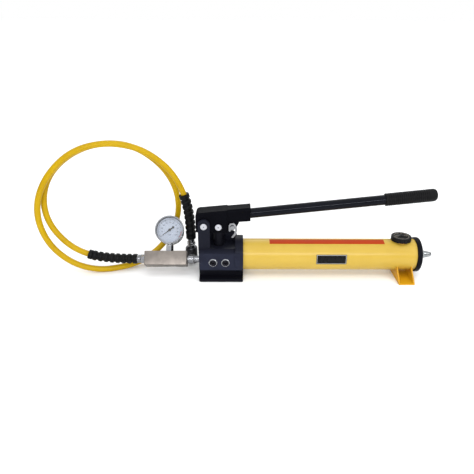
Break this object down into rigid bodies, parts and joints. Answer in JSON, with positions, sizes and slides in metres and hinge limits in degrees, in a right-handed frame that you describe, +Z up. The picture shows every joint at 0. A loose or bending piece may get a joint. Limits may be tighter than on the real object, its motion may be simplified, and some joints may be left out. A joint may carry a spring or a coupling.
{
  "type": "hydraulic hand pump",
  "caption": "Lever-operated hydraulic pump with a tubular oil reservoir, a pressure gauge on its outlet and a flexible hose ending in a screw coupler.",
  "frame": {"origin": "centre of the manifold's flat bottom face, on the surface that the pump stands on", "axes": "+X along the reservoir from the manifold towards the handle's grip, +Z up, +Y away from the gauge's dial"},
  "size_m": [0.8805, 0.1508, 0.2984],
  "materials": {
    "black_paint": "satin black paint over cast iron",
    "yellow_paint": "semi-gloss yellow paint",
    "bright_steel": "zinc-plated turned steel",
    "chrome": "bright chrome plate",
    "plated_block": "dull nickel-plated steel",
    "dark_steel": "ground steel",
    "brass": "turned brass",
    "rubber": "moulded rubber",
    "black_plastic": "moulded black plastic",
    "hose_yellow": "smooth thermoplastic jacket",
    "white_dial": "white printed plate",
    "needle_black": "matt black",
    "clear_glass": "clear flat glass",
    "plate_black": "blank dark plate"
  },
  "bodies": {
    "pump": {"bourdon_tube": "brass", "check_balls": "dark_steel", "check_springs": "dark_steel", "coupler_ball": "dark_steel", "coupler_body": "bright_steel", "filler_neck": "yellow_paint", "front_valve_plugs": "dark_steel", "fulcrum_pin": "bright_steel", "fulcrum_pin_ring": "bright_steel", "gauge_bezel": "chrome", "gauge_block": "plated_block", "gauge_case": "black_plastic", "gauge_dial": "white_dial", "gauge_movement": "dark_steel", "gauge_stem": "dark_steel", "gauge_window": "clear_glass", "hose_inlet_fitting": "bright_steel", "hose_outlet_fitting": "bright_steel", "hose_tube": "hose_yellow", "inlet_bend_guard": "rubber", "manifold": "black_paint", "nameplate": "plate_black", "outlet_adapter": "bright_steel", "outlet_bend_guard": "rubber", "piston_gland": "black_paint", "piston_seal": "rubber", "piston_wiper": "rubber", "rear_foot": "yellow_paint", "release_bush": "bright_steel", "relief_ball": "dark_steel", "relief_plug": "bright_steel", "relief_spring": "dark_steel", "reservoir_end_cap": "black_paint", "reservoir_tube": "yellow_paint", "suction_strainer": "brass", "suction_tube": "dark_steel", "tank_seal_front": "rubber", "tank_seal_rear": "rubber", "tie_rod": "dark_steel", "tie_rod_nut": "chrome", "tie_rod_washer": "bright_steel"},
    "lever": {"lever_beam": "black_paint", "handle_tube": "black_paint", "handle_grip": "rubber", "handle_screw": "bright_steel", "handle_lock_bolt": "bright_steel", "piston_pin": "bright_steel", "piston_pin_ring": "bright_steel", "piston_pin_spacers": "dark_steel"},
    "piston_body": {"piston": "chrome"},
    "lock": {"handle_lock_hook": "bright_steel"},
    "release": {"release_knob": "black_plastic", "release_spindle": "dark_steel"},
    "cap": {"filler_cap": "black_plastic", "filler_seal": "rubber"},
    "needle": {"gauge_needle": "needle_black"},
    "sleeve": {"coupler_sleeve": "black_plastic"}
  },
  "joints": [
    {"name": "handle_swing", "type": "hinge", "parent": "pump", "child": "lever", "pos_m": [-0.037, 0, 0.123], "axis": [0, -1, 0], "range_deg": [0, 42]},
    {"name": "piston_slide", "type": "slide", "parent": "pump", "child": "piston_body", "axis": [0, 0, 1], "range_m": [0, 0.0226]},
    {"name": "lock_hook_swing", "type": "hinge", "parent": "lever", "child": "lock", "pos_m": [0.0245, -0.0135, 0.1165], "axis": [0, -1, 0], "range_deg": [0, 60]},
    {"name": "release_turn", "type": "hinge", "parent": "pump", "child": "release", "pos_m": [-0.022, 0.04, 0.0424], "axis": [0, 1, 0], "range_deg": [0, 270]},
    {"name": "filler_cap_turn", "type": "hinge", "parent": "pump", "child": "cap", "pos_m": [0.401, 0, 0.085], "axis": [0, 0, 1], "range_deg": [0, 360]},
    {"name": "needle_turn", "type": "hinge", "parent": "pump", "child": "needle", "pos_m": [-0.119, 0.03033, 0.08993], "axis": [0, 0.7986, -0.6018], "range_deg": [0, 270], "stiffness_Nm_per_rad": 0.0005},
    {"name": "coupler_sleeve_turn", "type": "hinge", "parent": "pump", "child": "sleeve", "pos_m": [-0.0725, 0.047, 0.02], "axis": [0, 0, -1], "continuous": true}
  ],
  "couplings": [
    {"joint": "piston_slide", "follows": "handle_swing", "m_per_rad": 0.0305}
  ]
}
